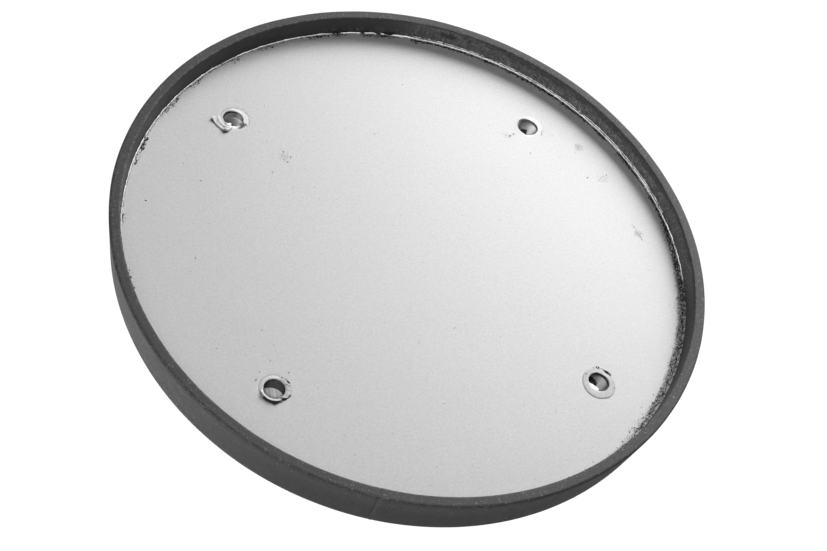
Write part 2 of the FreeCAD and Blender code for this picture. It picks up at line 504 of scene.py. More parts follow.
def rim_shape(angle, r, y):
    """Hand-cut rubber: slight waves, a moulding line, and the step and nick of the butt joint."""
    free = step(FLANGE_FRONT, FLANGE_FRONT + 4 * MM, y) if r < FOOT_R else 1.0
    wave = 0.22 * ripple(angle, 5, 1.7) + 0.10 * ripple(angle, 19, 4.2)
    outer = step(FOOT_R + 5 * MM, RIM_R - 3 * MM, r)
    above = step(REAR_PLANE + 2 * MM, RIM_REAR - 2 * MM, y)
    r += wave * MM * (0.4 + 0.6 * outer) * free
    y += 0.14 * MM * ripple(angle, 9, 8.8) * above
    line = math.exp(-((y - (RIM_REAR - 3.1 * MM)) / (0.35 * MM)) ** 2)
    r -= 0.30 * MM * line * outer * (0.65 + 0.35 * ripple(angle, 40, 0.3))
    past = (angle - JOINT_ANGLE + 180) % 360 - 180
    across = past * math.pi / 180 * RIM_R / MM
    groove = math.exp(-(across / 0.45) ** 2)
    lip = 0.7 * math.exp(-((across - 3.0) / 5.0) ** 2) * step(0.0, 1.2, across)
    if r > FOOT_R - 1 * MM:
        r += outer * (lip - 0.9 * groove) * MM
        y -= above * (0.35 * groove - 0.3 * lip) * MM
    return r, y


# Where round the head the rubber is palest: painted sheen, lighter on this side and darker opposite it.
SHEEN_SIDE_ANGLE = 340.0


def rim_masks(verts):
    """Per-point amounts of painted sheen, painted shade on the walls, grime, light smears and worn edges."""
    masks = {"dust_and_sheen": [], "painted_wall_shade": [], "grime": [], "smear": [], "wear": []}
    for v in verts:
        r = math.hypot(v.x, v.z)
        angle = angle_of(v)
        low = rough(v.x, v.y, v.z, 90.0)
        fine = rough(v.x + 3.0, v.y, v.z, 420.0)
        inner = v.y > REAR_PLANE and r < RIM_R - FACE_WIDTH + 0.5 * MM
        height = (v.y - REAR_PLANE) / (RIM_REAR - REAR_PLANE)
        wall = 1.0 if inner else 0.0
        # Painted sheen: paler round one side of the head, darker round the other.
        masks["dust_and_sheen"].append(0.5 + 0.5 * math.cos(math.radians(angle - SHEEN_SIDE_ANGLE)))
        # Painted shade: the inner wall is darkened all round and most on the upper left; the outer wall's
        # lower part darkens towards the front.
        dark_arc = max(within(angle, 84, 146, 10), 0.8 * within(angle, 146, 204, 10),
                       within(angle, 170, 206, 10))
        outside = 1.0 if r > FOOT_R and not inner else 0.0
        lower = step(RIM_REAR - 3 * MM, RIM_REAR - 22 * MM, v.y) * within(angle, 222, 296, 18)
        masks["painted_wall_shade"].append(clamp01(wall * (0.30 + 0.70 * dark_arc) + 0.95 * outside * lower))
        ragged = height + 0.10 * fine + 0.14 * low
        band_foot = 0.80 - 0.16 * within(angle, 12, 66, 8)
        band = within(angle, -18, 66, 6) * step(band_foot, band_foot + 0.07, ragged)
        blots = within(angle, 62, 76, 3) * step(0.30, 0.42, low + 0.3 * fine) * step(0.35, 0.6, height)
        crumbs = within(angle, -20, 140, 6) * step(0.28, 0.40, fine) * step(0.30, 0.10, height)
        masks["grime"].append(wall * clamp01(0.50 * band + 0.8 * blots + 0.8 * crumbs))
        smear_arc = within(angle, 8, 44, 6) * step(-0.25, 0.45, low + 0.5 * fine) * step(0.85, 0.45, height)
        smear_low = within(angle, 44, 100, 8) * step(0.15, 0.5, fine + low) * step(0.55, 0.2, height) * 0.6
        dusty = 0.68 * within(angle, -12, 80, 9) * step(1.0, 0.88, height) * (0.75 + 0.5 * fine)
        masks["smear"].append(wall * clamp01(dusty + 0.85 * smear_arc + smear_low * 0.6))
        edge = step(RIM_REAR - 0.9 * MM, RIM_REAR - 0.1 * MM, v.y)
        rear_outer = math.exp(-((r - (RIM_R - 0.6 * MM)) / (0.7 * MM)) ** 2)
        rear_inner = math.exp(-((r - (RIM_R - FACE_WIDTH + 0.5 * MM)) / (0.6 * MM)) ** 2)
        rubbed = (rear_outer + rear_inner) * step(-0.1, 0.5, fine + 0.4 * low)
        masks["wear"].append(clamp01(edge * rubbed * 0.75))
    return masks


def build_rim():
    verts, faces = lathe(rim_section(), RIM_SEGMENTS, rim_shape)
    rim = new_mesh("rubber_rim", verts, faces, RUBBER, attributes=rim_masks(verts))
    place(fix_normals(rim), "rubber_rim", "rim_ring")


build_rim()

# ---------------------------------------------------------------- white skin with its holes

HOLE_SEGMENTS = 120
# Opening of each hole in mm: radius, and how far its middle lies right and up of the bore.
OPENINGS = {
    "upper_left": (7.95, -0.7, 0.9),
    "upper_right": (8.70, -1.2, 0.3),
    "lower_right": (8.50, -0.6, 0.0),
    "lower_left": (8.35, -0.7, 0.3),
}


def hole_edge(hole, angle):
    """Radius of one hole in mm at an angle, with its tears and cuts."""
    a = math.radians(angle)
    radius, right, up = OPENINGS[hole]
    along = right * math.cos(a) + up * math.sin(a)
    r = along + math.sqrt(radius ** 2 - right ** 2 - up ** 2 + along ** 2)
    r += 0.12 * ripple(angle, 2, HOLES[hole][0] * 50)
    if hole == "upper_left":
        r += 1.5 * within(angle, 300, 336, 3) + 0.5 * within(angle, 268, 278, 2)
    if hole == "upper_right":
        r += 0.5 * within(angle, 232, 246, 2)
    return r


# Radius in mm of the faint circle round each hole.
RING_MARK_R = 11.4


def ring_mark(hole, angle, r):
    """Height in mm of the faint circle pressed into the skin round each hole."""
    strength = {
        "upper_left": 0.9 * within(angle, -40, 150, 12),
        "upper_right": 0.5 * within(angle, -50, 10, 12),
        "lower_left": 0.7 * within(angle, 60, 190, 12),
        "lower_right": 0.3,
    }[hole]
    middle = RING_MARK_R + 0.4 * ripple(angle, 3, r)
    groove = math.exp(-((r - middle) / 0.45) ** 2)
    shoulder = step(middle, 8.6, r)
    spot = Vector((math.cos(math.radians(angle)) * 9, r * 0.4, 3.3))
    patchy = step(-0.5, 0.3, noise.noise(spot))
    return strength * (0.07 * shoulder - 0.22 * groove * patchy)


# Painted shadows round the torn flap, under its lifted edges and beside the hole: amount, then start, end
# and half width in mm from the hole's middle.
FLAP_SHADOWS = [
    (1.0, (-18.4, 0.4), (-15.8, -3.9), 0.9),
    (1.0, (-11.0, -12.2), (-6.2, -13.2), 1.0),
    (0.75, (-6.2, -13.0), (-2.6, -8.6), 0.45),
    (1.0, (2.2, -9.2), (9.0, -4.4), 1.35),
    (0.6, (-15.8, -4.4), (-11.6, -10.4), 0.5),
]


def painted_gap_shadow(hole, angle, u, v, r):
    """How much painted shadow, standing for the shade under lifted edges, lies at a place beside a hole, in
    mm.
    """
    # Painted shadow under the curled collar and under its folded band.
    if hole == "lower_left":
        tongue = 1.9 * math.exp(-(turn_gap(angle, 262) / 9) ** 2)
        crescent = within(angle, 214, 292, 7) * step(9.4, 9.9, r)
        crescent *= step(12.3 + tongue, 11.3 + 0.6 * tongue, r)
        wedge = along_strip(u, v, (2.2, -10.3), (10.9, -5.2), 1.25)
        return max(crescent * 0.95, wedge)
    if hole == "upper_left":
        return max(amount * along_strip(u, v, *strip) for amount, *strip in FLAP_SHADOWS)
    return 0.0


def along_strip(u, v, start, end, half_width):
    """1 inside a strip between two places, tapering to nothing at both ends."""
    du, dv = end[0] - start[0], end[1] - start[1]
    length = math.hypot(du, dv)
    t = ((u - start[0]) * du + (v - start[1]) * dv) / length ** 2
    away = abs((u - start[0]) * dv - (v - start[1]) * du) / length
    if t < 0 or t > 1:
        return 0.0
    body = half_width * math.sin(math.pi * clamp01(0.08 + 0.84 * t)) ** 0.6
    return step(body + 0.25, body - 0.25, away)


def skin_height(x, z):
    """Rear surface height in mm over the rear plane, and dirt, paleness and painted shadow there."""
    height = 0.05 * rough(x, 0, z, 30.0)
    dirt, pale, painted_shadow = 0.0, 0.0, 0.0
    r_head = math.hypot(x, z)
    for hole, (cx, cz) in HOLES.items():
        u = (cx - x) / MM
        v = (z - cz) / MM
        r = math.hypot(u, v)
        if r > 26:
            continue
        angle = math.degrees(math.atan2(v, u)) % 360
        height += ring_mark(hole, angle, r)
        height += 0.10 * math.exp(-((r - hole_edge(hole, angle) - 0.5) / 0.6) ** 2)
        pale = max(pale, 0.30 * step(11.8, 10.6, r))
        painted_shadow = max(painted_shadow, painted_gap_shadow(hole, angle, u, v, r))
        dirt = max(dirt, 0.38 * ring_dirt(hole, angle, r))
    angle = math.degrees(math.atan2(z, -x)) % 360
    inward = FOOT_R / MM - r_head / MM
    slow = ripple(angle, 14, 0)
    width = 2.2 + 7.2 * within(angle, -44, 2, 12) + 1.2 * within(angle, 2, 80, 10) + 1.6 * slow
    strength = within(angle, -76, 96, 10) + 0.45 * within(angle, 96, 215, 10)
    dirt = max(dirt, strength * step(width, width * 0.25, inward))
    for right, up, radius, amount in SMUDGES:
        away = math.hypot(-x / MM - right, z / MM - up) / radius
        dirt = max(dirt, amount * step(1.0, 0.1, away))
    return height, dirt, pale, painted_shadow


def ring_dirt(hole, angle, r):
    """Grime caught in the faint circle round a hole."""
    reach = {"upper_left": within(angle, -45, 205, 8), "upper_right": within(angle, -45, -10, 8),
             "lower_left": within(angle, -30, 190, 10), "lower_right": within(angle, -40, 120, 10)}[hole]
    return reach * math.exp(-((r - 11.2) / 0.7) ** 2)


# Smudges on the back, in mm: right and up from the middle as seen from behind, radius, amount.
SMUDGES = [(98, 111, 6, 0.30), (158, 100, 8, 0.42), (187, 14, 8, 0.40), (-86, 84, 9, 0.30),
           (171, 68, 9, 0.32)]

SKIN_SEGMENTS = 900
# Finely divided rings near the disc's edge, and how far the holes' own rings reach, in mm.
EDGE_RINGS = (215.5, 214.5, 213.5, 212.0, 210.5, 209.0, 207.0, 204.5, 201.0)
HOLE_RINGS_FROM, HOLE_RINGS_TO = 9.4, 24.0


def skin_points():
    """Rim of the disc, rings round each hole and an even field between them."""
    rng = random.Random(11)
    points = [around(360 * i / SKIN_SEGMENTS, SKIN_R, 0) for i in range(SKIN_SEGMENTS)]
    loops = [list(range(SKIN_SEGMENTS))]
    for r in EDGE_RINGS:
        points.extend(around(360 * (i + 0.5) / SKIN_SEGMENTS, r * MM, 0) for i in range(SKIN_SEGMENTS))
    for hole in HOLES:
        first = len(points)
        for i in range(HOLE_SEGMENTS):
            angle = 360 * i / HOLE_SEGMENTS
            a = math.radians(angle)
            r = hole_edge(hole, angle)
            points.append(local(hole, r * math.cos(a), r * math.sin(a)))
        loops.append(list(range(first, first + HOLE_SEGMENTS)))
        r = HOLE_RINGS_FROM
        while r < HOLE_RINGS_TO:
            for i in range(HOLE_SEGMENTS):
                a = 2 * math.pi * (i + 0.5) / HOLE_SEGMENTS
                points.append(local(hole, r * math.cos(a), r * math.sin(a)))
            r += 0.45 if r < 15 else 0.9
    for right, up, radius, _ in SMUDGES:
        for _ in range(260):
            a, d = rng.uniform(0, 2 * math.pi), radius * math.sqrt(rng.random())
            spot = Vector((-(right + d * math.cos(a)) * MM, 0, (up + d * math.sin(a)) * MM))
            if spot.length < 199 * MM:
                points.append(spot)
    spacing = 6.0 * MM
    steps = int(SKIN_R / spacing)
    for i in range(-steps, steps + 1):
        for j in range(-steps, steps + 1):
            x = (i + rng.uniform(-0.2, 0.2)) * spacing
            z = (j + rng.uniform(-0.2, 0.2)) * spacing
            clear = all(math.hypot(x - cx, z - cz) > 26 * MM for cx, cz in HOLES.values())
            if math.hypot(x, z) < 197 * MM and clear:
                points.append(Vector((x, 0, z)))
    return points, loops


def build_skin():
    points, loops = skin_points()
    flat = [Vector((p.x, p.z)) for p in points]
    edges = [(loop[i], loop[(i + 1) % len(loop)]) for loop in loops for i in range(len(loop))]
    co, _, tris, _, _, _ = delaunay_2d_cdt(flat, edges, [], 0, 1e-7)
    kept = []
    for tri in tris:
        c = sum((co[i] for i in tri), Vector((0, 0))) / 3
        inside = c.length < SKIN_R
        for hole, (cx, cz) in HOLES.items():
            u, v = (cx - c.x) / MM, (c.y - cz) / MM
            if math.hypot(u, v) < 12:
                angle = math.degrees(math.atan2(v, u)) % 360
                inside = inside and math.hypot(u, v) > hole_edge(hole, angle) - 0.02
        if inside:
            kept.append(tuple(tri))
    marks = [skin_height(p.x, p.y) for p in co]
    top = [Vector((p.x, REAR_PLANE + m[0] * MM, p.y)) for p, m in zip(co, marks)]
    bottom = [Vector((p.x, SKIN_FRONT, p.y)) for p in co]
    n = len(co)
    faces = kept + [tuple(i + n for i in reversed(tri)) for tri in kept]
    sides = dict.fromkeys((tri[k], tri[(k + 1) % 3]) for tri in kept for k in range(3))
    faces += [(b, a, a + n, b + n) for a, b in sides if (b, a) not in sides]
    layers = {name: [m[i] for m in marks] * 2 for i, name in ((1, "dirt"), (2, "pale"), (3, "painted_shadow"))}
    skin = new_mesh("white_skin", top + bottom, faces, SKIN, attributes=layers)
    edit_mesh(skin, drop_loose)
    skin.data.set_sharp_from_angle(angle=math.radians(50))
    place(fix_normals(skin), "white_skin", "back_skin")


build_skin()

# ---------------------------------------------------------------- torn, curled and flat white rings


def sheet_strip(name, rows, thickness):
    """Closed thin white sheet through rows of points; its underside lies thickness mm lower."""
    m = len(rows[0])
    top = [p for row in rows for p in row]
    bottom = [p - Vector((0, thickness * MM, 0)) for p in top]
    n = len(top)
    faces = []
    for i in range(len(rows) - 1):
        for j in range(m - 1):
            a, b, c, d = i * m + j, i * m + j + 1, (i + 1) * m + j + 1, (i + 1) * m + j
            faces.append((a, b, c, d))
            faces.append((d + n, c + n, b + n, a + n))
    border = list(range(m))
    border += [i * m + m - 1 for i in range(1, len(rows))]
    border += [(len(rows) - 1) * m + j for j in range(m - 2, -1, -1)]
    border += [i * m for i in range(len(rows) - 2, 0, -1)]
    for k, a in enumerate(border):
        b = border[(k + 1) % len(border)]
        faces.append((b, a, a + n, b + n))
    return fix_normals(new_mesh(name, top + bottom, faces, CHIP))


def collar_lower_left():
    """Curled collar: its outer edge lifts off the skin at the lower left, with a break below right."""
    rows = []
    for i in range(241):
        angle = 1.5 * i
        a = math.radians(angle)
        jag = ripple(angle, 5, 7.0)
        lifted = 1.75 * within(angle, 196, 293, 9) + 0.7 * within(angle, 150, 205, 18)
        lifted += 1.35 * within(angle, -58, -22, 7) + 0.35 * within(angle, -20, 70, 10)
        width = 1.0 + 1.35 * within(angle, 180, 292, 18) + 1.9 * within(angle, -55, 48, 8) + 0.35 * jag
        width -= 1.7 * within(angle, -68, -58, 2.5)
        row = []
        for k in range(11):
            t = k / 10
            r = 7.95 + 0.25 * within(angle, 180, 290, 10) + width * t
            curl = 0.22 + lifted * t ** 1.3 + 0.22 * math.sin(math.pi * t) * (0.6 + jag)
            row.append(local("lower_left", r * math.cos(a), r * math.sin(a), max(0.12, curl)))
        rows.append(row)
    return sheet_strip("curled_collar_lower_left", rows, 0.28)


def ring_lower_right():
    """Flat ring that stands slightly proud of the skin, chipped at its upper right."""
    rows = []
    for i in range(181):
        angle = 2.0 * i
        a = math.radians(angle)
        jag = ripple(angle, 6, 2.0)
        outer = 12.4 + 1.7 * within(angle, 205, 320, 40) + 0.25 * jag
        outer -= within(angle, 32, 62, 4) * (1.6 + 1.2 * jag) + within(angle, 74, 86, 3) * 1.1
        row = []
        for k in range(10):
            t = k / 9
            r = 8.05 + (outer - 8.05) * t
            lift = 0.50 - 0.28 * step(0.8, 1.0, t) + 0.12 * math.exp(-((t - 0.06) / 0.12) ** 2)
            row.append(local("lower_right", r * math.cos(a) - 0.2, r * math.sin(a) - 0.3, lift))
        rows.append(row)
    return sheet_strip("flat_ring_lower_right", rows, 0.48)


def crumpled(name, hole, outline_a, outline_b, lift, thickness, bumps, seed):
    """Torn sheet lofted between two edges of equal point count; lift(s, t) is in mm."""
    rows = []
    across = 14
    along = 48
    for i in range(along + 1):
        s = i / along
        pa = along_line(outline_a, s)
        pb = along_line(outline_b, s)
        row = []
        for k in range(across + 1):
            t = k / across
            u = pa[0] + (pb[0] - pa[0]) * t
            v = pa[1] + (pb[1] - pa[1]) * t
            crease = noise.noise(Vector((u * 0.45, v * 0.45, seed)))
            row.append(local(hole, u, v, max(0.08, lift(s, t) + bumps * crease)))
        rows.append(row)
    return sheet_strip(name, rows, thickness)


def along_line(points, s):
    """Point at fraction s of a polyline's length."""
    lengths = [math.dist(points[i], points[i + 1]) for i in range(len(points) - 1)]
    want = s * sum(lengths)
    for i, length in enumerate(lengths):
        if want <= length or i == len(lengths) - 1:
            t = clamp01(want / length)
            return (points[i][0] + (points[i + 1][0] - points[i][0]) * t,
                    points[i][1] + (points[i + 1][1] - points[i][1]) * t)
        want -= length


def flap_upper_left():
    """Flap of skin torn outwards from the hole and folded back; it lifts at its two tips."""
    inner = [(-10.8, 3.8), (-10.6, 0.6), (-9.4, -3.4), (-7.4, -6.0), (-3.2, -7.9)]
    outer = [(-17.9, 0.6), (-15.7, -4.1), (-12.6, -8.9), (-10.2, -11.4), (-7.0, -12.6), (-4.6, -10.6)]

    def lift(s, t):
        tips = 1.5 * math.exp(-((s - 0.02) / 0.12) ** 2) + 1.7 * math.exp(-((s - 0.80) / 0.11) ** 2)
        return 0.35 + (0.35 + tips) * t ** 1.8 + 0.35 * math.exp(-((t - 0.30) / 0.12) ** 2)

    return crumpled("torn_flap_upper_left", "upper_left", inner, outer, lift, 0.28, 0.38, 3.1)


def chip_upper_left():
    """Small white chip bent over the hole's lower left edge."""
    inner = [(-7.9, -3.6), (-6.6, -4.4), (-4.6, -4.6), (-3.0, -5.0)]
    outer = [(-8.6, -4.4), (-7.2, -6.0), (-5.0, -7.0), (-3.4, -7.6)]
    return crumpled("bent_chip_upper_left", "upper_left", inner, outer,
                    lambda s, t: 0.9 - 0.5 * t, 0.3, 0.25, 9.0)


def chip_lower_right():
    """Broad white chip left across the hole's lower left."""
    inner = [(-8.7, -0.2), (-6.0, -2.0), (-3.6, -4.4), (-1.6, -6.4)]
    outer = [(-9.8, -1.6), (-8.6, -4.6), (-6.6, -7.0), (-3.6, -8.6)]
    return crumpled("broad_chip_lower_right", "lower_right", inner, outer,
                    lambda s, t: 0.55, 0.5, 0.08, 5.0)


place(collar_lower_left(), "white_ring", "hole_ring_lower_left")
place(ring_lower_right(), "white_ring", "hole_ring_lower_right")
place(flap_upper_left(), "white_ring", "hole_ring_upper_left")
place(chip_upper_left(), "white_ring")
place(chip_lower_right(), "white_ring")

# ---------------------------------------------------------------- insert nuts

NUT_REAR = nut_high.y
NUT_FRONT = nut_low.y
NUT_FLANGE_R = (nut_high.x - nut_low.x) / 2
NUT_BARREL_R = 10.0 * MM
NUT_FLANGE_T = 1.5 * MM
THREAD_PITCH = 1.6 * MM
THREAD_DEPTH = 7.0 * MM
SLEEVE_FRONT = -18.0 * MM
SLEEVE_STEP = 1.2 * MM
BORE_STEPS = 84


def nut(hole, threaded, dark_depth, sleeve_end, mouth_painted_shade=0.0, painted_shade_arc=(0, 0)):
    """Flanged nut with a mouth darkened as painted shade, painted reflection bands in its bore and a worn
    inner end.

    dark_depth, in mm, is how deep the painted mouth shade reaches; sleeve_end(angle) is how deep the sleeve
    reaches at that angle, in mm.
    mouth_painted_shade darkens the mouth further as painted shade, and painted_shade_arc is an arc of the
    bore painted near black as shade down to about 7 mm.
    """
    reach = NUT_REAR - SLEEVE_FRONT
    section = []
    for k in range(BORE_STEPS + 1):
        drop = reach * k / BORE_STEPS
        groove = 0.5 + 0.5 * math.cos(2 * math.pi * drop / THREAD_PITCH)
        cut = 0.45 if threaded and drop < THREAD_DEPTH else 0.05
        cut *= groove * step(0.6 * MM, 1.2 * MM, drop)
        chamfer = 0.35 * step(0.7 * MM, 0.0, drop)
        section.append(Vector((BORE_R + (cut + chamfer) * MM, NUT_REAR - drop)))
    section += [Vector(corner) for corner in (
        (NUT_BARREL_R - SLEEVE_STEP, SLEEVE_FRONT),
        (NUT_BARREL_R - SLEEVE_STEP, NUT_FRONT),
        (NUT_BARREL_R, NUT_FRONT),
        (NUT_BARREL_R, NUT_REAR - NUT_FLANGE_T),
        (NUT_FLANGE_R, NUT_REAR - NUT_FLANGE_T),
        (NUT_FLANGE_R, NUT_REAR - 0.05 * MM),
        (BORE_R + 0.6 * MM, NUT_REAR - 0.05 * MM))]

    def shape(angle, r, y):
        return r, max(y, -sleeve_end(angle) * MM)

    verts, faces = lathe(section, 240, shape)
    mouth, painted_reflection_shade, painted_bore_shade = [], [], []
    for v in verts:
        angle = angle_of(v)
        depth = -v.y / MM
        ragged = 0.35 * noise.noise(Vector((v.x * 300, v.y * 300, v.z * 300)))
        # Painted shade: the bore's mouth is darkened all round, down to dark_depth mm.
        mouth.append(step(dark_depth + 0.5, dark_depth - 0.3, depth + ragged))
        # Painted reflection: the bore stays bright in two bands round it and is darkened elsewhere.
        bright = math.exp(-(turn_gap(angle, 28) / 30) ** 2)
        bright += 0.35 * math.exp(-(turn_gap(angle, 135) / 22) ** 2)
        painted_reflection_shade.append(clamp01(0.95 - 1.15 * bright + 0.3 * ragged))
        # Painted shade: the mouth darkened further, and one arc of the bore near black.
        dark = mouth_painted_shade * mouth[-1] + within(angle, *painted_shade_arc, 4) * step(7.5, 6.5, depth)
        # Painted shade in the thread grooves over part of the bore.
        if threaded and depth * MM < THREAD_DEPTH:
            turns = 0.5 + 0.5 * math.cos(2 * math.pi * depth * MM / THREAD_PITCH)
            dark += 0.8 * step(0.45, 0.7, turns) * within(angle, -20, 88, 14)
        painted_bore_shade.append(clamp01(dark))
    cx, cz = HOLES[hole]
    verts = [v + Vector((cx, 0, cz)) for v in verts]
    piece = new_mesh("nut_" + hole, verts, faces, STEEL, attributes={
        "mouth": mouth, "painted_reflection_shade": painted_reflection_shade, "painted_bore_shade": painted_bore_shade})
    piece.data.set_sharp_from_angle(angle=math.radians(45))
    place(fix_normals(piece), "insert_steel", "insert_nut_" + hole)


def torn_end(angle):
    """Diagonal tear that leaves the sleeve short at its upper left."""
    torn = step(50, 54, angle) * step(215, 195, angle)
    return max(2.4, 17.6 - torn * (4.6 + 0.15 * (min(angle, 130) - 54)))


def notched_end(angle):
    """Square notch in the sleeve's inner end."""
    return 17.8 - 5.6 * within(angle, 60, 100, 1.5)


# The last two numbers of a call are painted shade: extra mouth darkening, and an arc painted near black.
nut("upper_left", True, 2.2, lambda angle: 17.8, 0.65, (-66, -16))
nut("upper_right", False, 4.2, notched_end)
nut("lower_right", False, 3.8, torn_end, 0.6)

# ---------------------------------------------------------------- convex mirror and its back coat


DOME_RINGS = 90
DOME_SEGMENTS = 360


def dome_y(radius, offset):
    """Y of the sphere at a radius; offset moves it towards the front."""
    centre = BOARD_FRONT + math.sqrt(DOME_R ** 2 - DOME_EDGE_R ** 2)
    return centre - math.sqrt((DOME_R + offset) ** 2 - radius ** 2)


def dome_profile(offset):
    """Radius and Y of one surface of the mirror, from near its middle to the end of its flange."""
    radii = [DOME_EDGE_R * k / DOME_RINGS for k in range(1, DOME_RINGS + 1)]
    points = [Vector((r, dome_y(r, offset))) for r in radii]
    flange = BOARD_FRONT - offset
    return points + [Vector((DOME_EDGE_R + 1.0 * MM, flange)), Vector((SKIN_R, flange))]


def dome_piece(name, near, far, material):
    """Closed dome with a flat flange between two offsets from the board's front."""
    n = DOME_SEGMENTS
    verts = [around(s * 360 / n, p.x, p.y)
             for offset in (far, near) for p in dome_profile(offset) for s in range(n)]
    per_side = len(verts) // 2
    tips = (len(verts), len(verts) + 1)
    verts += [Vector((0, dome_y(0, far), 0)), Vector((0, dome_y(0, near), 0))]
    faces = []
    for side, tip in enumerate(tips):
        base = side * per_side
        for ring in range(base, base + per_side - n, n):
            for s in range(n):
                t = (s + 1) % n
                faces.append((ring + s, ring + t, ring + n + t, ring + n + s))
        faces += [(tip, base + (s + 1) % n, base + s) for s in range(n)]
    last, other = per_side - n, 2 * per_side - n
    for s in range(n):
        t = (s + 1) % n
        faces.append((last + s, last + t, other + t, other + s))
    # Painted shade: the coat is blackened within about 20 mm of the three nuts, where it lies in shade
    # behind them.
    nuts = [place_xz for hole, place_xz in HOLES.items() if hole != "lower_left"]
    painted_hole_shade = [step(22 * MM, 17 * MM, min(math.hypot(v.x - cx, v.z - cz) for cx, cz in nuts)) for v in verts]
    piece = new_mesh(name, verts, faces, material, attributes={"painted_hole_shade": painted_hole_shade})
    piece.data.set_sharp_from_angle(angle=math.radians(40))
    return fix_normals(piece)


place(dome_piece("convex_mirror", 0.35 * MM, MIRROR_T, MIRROR), "mirror_sheet", "mirror_face")
place(dome_piece("mirror_back_coat", 0.0, 0.30 * MM, COAT), "mirror_sheet", "mirror_face")

# ---------------------------------------------------------------- CAD nodes that stay: board and joint

for node, material in (("core_board", BOARD), ("rim_joint", RUBBER)):
    NODES[node].data.materials.clear()
    NODES[node].data.materials.append(material)

# ---------------------------------------------------------------- seam bead, grit and chips

# Tilt of the threads in degrees, from flat on the back towards the rear lip.
SEAM_SLOPE = 44.0
# A thread stops where it would be thinner than this, in mm.
THINNEST = 0.10


def strand(name, start, end, radius, height, thickness, seed, gaps):
    """Irregular thread of sealant along the foot of the rear lip, in mm; more gaps break it more often."""
    sides = 12
    verts, faces, run = [], [], []
    count = int((end - start) * 5)
    for i in range(count + 1):
        angle = start + (end - start) * i / count
        n1, n2, n3 = ripple(angle, 30, seed), ripple(angle, 110, seed + 5), ripple(angle, 300, seed + 9)
        ends = step(0, 2, angle - start) * step(0, 2, end - angle)
        size = thickness * ends * clamp01(0.72 + 0.50 * n1 + 0.45 * n2 + 0.40 * n3 - gaps)
        if size < THINNEST:
            if run:
                faces.append(tuple(run))
            run = []
            continue
        ring = []
        slope = math.radians(SEAM_SLOPE + 9 * n2 + 7 * n3)
        for k in range(sides):
            b = 2 * math.pi * k / sides
            wide, thin = size * 0.62 * math.cos(b), size * 0.24 * math.sin(b)
            rr = radius + 0.30 * n1 + 0.22 * n2 + wide * math.cos(slope) - thin * math.sin(slope)
            yy = height + 0.22 * n1 + 0.15 * n3 + wide * math.sin(slope) + thin * math.cos(slope)
            ring.append(len(verts))
            foot = min(rr * MM, FOOT_R + 0.5 * MM)
            verts.append(around(angle, foot, REAR_PLANE + max(0.02, yy) * MM))
        if run:
            for k in range(sides):
                j = (k + 1) % sides
                faces.append((run[k], run[j], ring[j], ring[k]))
        else:
            faces.append(tuple(reversed(ring)))
        run = ring
    if run:
        faces.append(tuple(run))
    return fix_normals(new_mesh(name, verts, faces, FOIL))


def seam_base():
    """Low fillet of sealant all round the seam, clean in places and gritty in others."""
    outer = FOOT_R - 0.1 * MM
    section = rounded([
        (outer, REAR_PLANE + 0.02 * MM, 0.0),
        (FOOT_R - 0.05 * MM, REAR_PLANE + 1.1 * MM, 0.0),
        (FOOT_R - 1.4 * MM, REAR_PLANE + 0.02 * MM, 0.0),
    ], 0.35)
    verts, faces = lathe(section, RIM_SEGMENTS)
    out, dirt = [], []
    for v in verts:
        r = math.hypot(v.x, v.z)
        angle = angle_of(v)
        n = rough(v.x, v.y, v.z, 260.0)
        f = rough(v.x, v.y + 2, v.z, 800.0)
        free = step(0, 1.2 * MM, outer - r)
        scale = 1 + (0.35 * n + 0.15 * f) * MM * free / r
        out.append(Vector((v.x * scale, v.y + max(0, n) * 0.25 * MM * free, v.z * scale)))
        dirty = within(angle, -60, 0, 8) + 0.9 * within(angle, 95, 250, 10) + 0.55 * within(angle, 0, 95, 6)
        dirt.append(clamp01(dirty * step(-0.35, 0.25, f + 0.4 * n)))
    return fix_normals(new_mesh("seam_fillet", out, faces, SEALANT, attributes={"dirt": dirt}))


def pebble():
    """Points and faces of one round crumb of radius 1."""
    rings, sides = 4, 7
    verts, faces = [], []
    for i in range(1, rings):
        for k in range(sides):
            down = math.pi * i / rings
            turn = 2 * math.pi * (k + 0.5 * (i % 2)) / sides
            verts.append(Vector((math.sin(down) * math.cos(turn), math.cos(down),
                                 math.sin(down) * math.sin(turn))))
    verts += [Vector((0, 1, 0)), Vector((0, -1, 0))]
    top, bottom = len(verts) - 2, len(verts) - 1
    for k in range(sides):
        j = (k + 1) % sides
        faces.append((top, k, j))
        faces.append((bottom, (rings - 2) * sides + j, (rings - 2) * sides + k))
        for i in range(rings - 2):
            faces.append((i * sides + k, (i + 1) * sides + k, (i + 1) * sides + j, i * sides + j))
    return verts, faces


def pebbles(name, material, spots):
    """Many irregular crumbs in one mesh; spots are (centre, size in mm, flatness, stretch, turn, seed)."""
    verts, faces = [], []
    crumb_verts, crumb_faces = pebble()
    for centre, size, flat, stretch, turn, seed in spots:
        base = len(verts)
        ct, st = math.cos(turn), math.sin(turn)
        for p in crumb_verts:
            bump = 1 + 0.45 * noise.noise(p * 1.7 + Vector((seed, seed * 0.7, 0)))
            x, z = p.x * stretch * bump, p.z * bump
            offset = Vector((x * ct - z * st, p.y * flat * bump, x * st + z * ct))
            verts.append(centre + offset * size * MM * 0.5)
        faces += [tuple(base + i for i in f) for f in crumb_faces]
    return fix_normals(new_mesh(name, verts, faces, material))


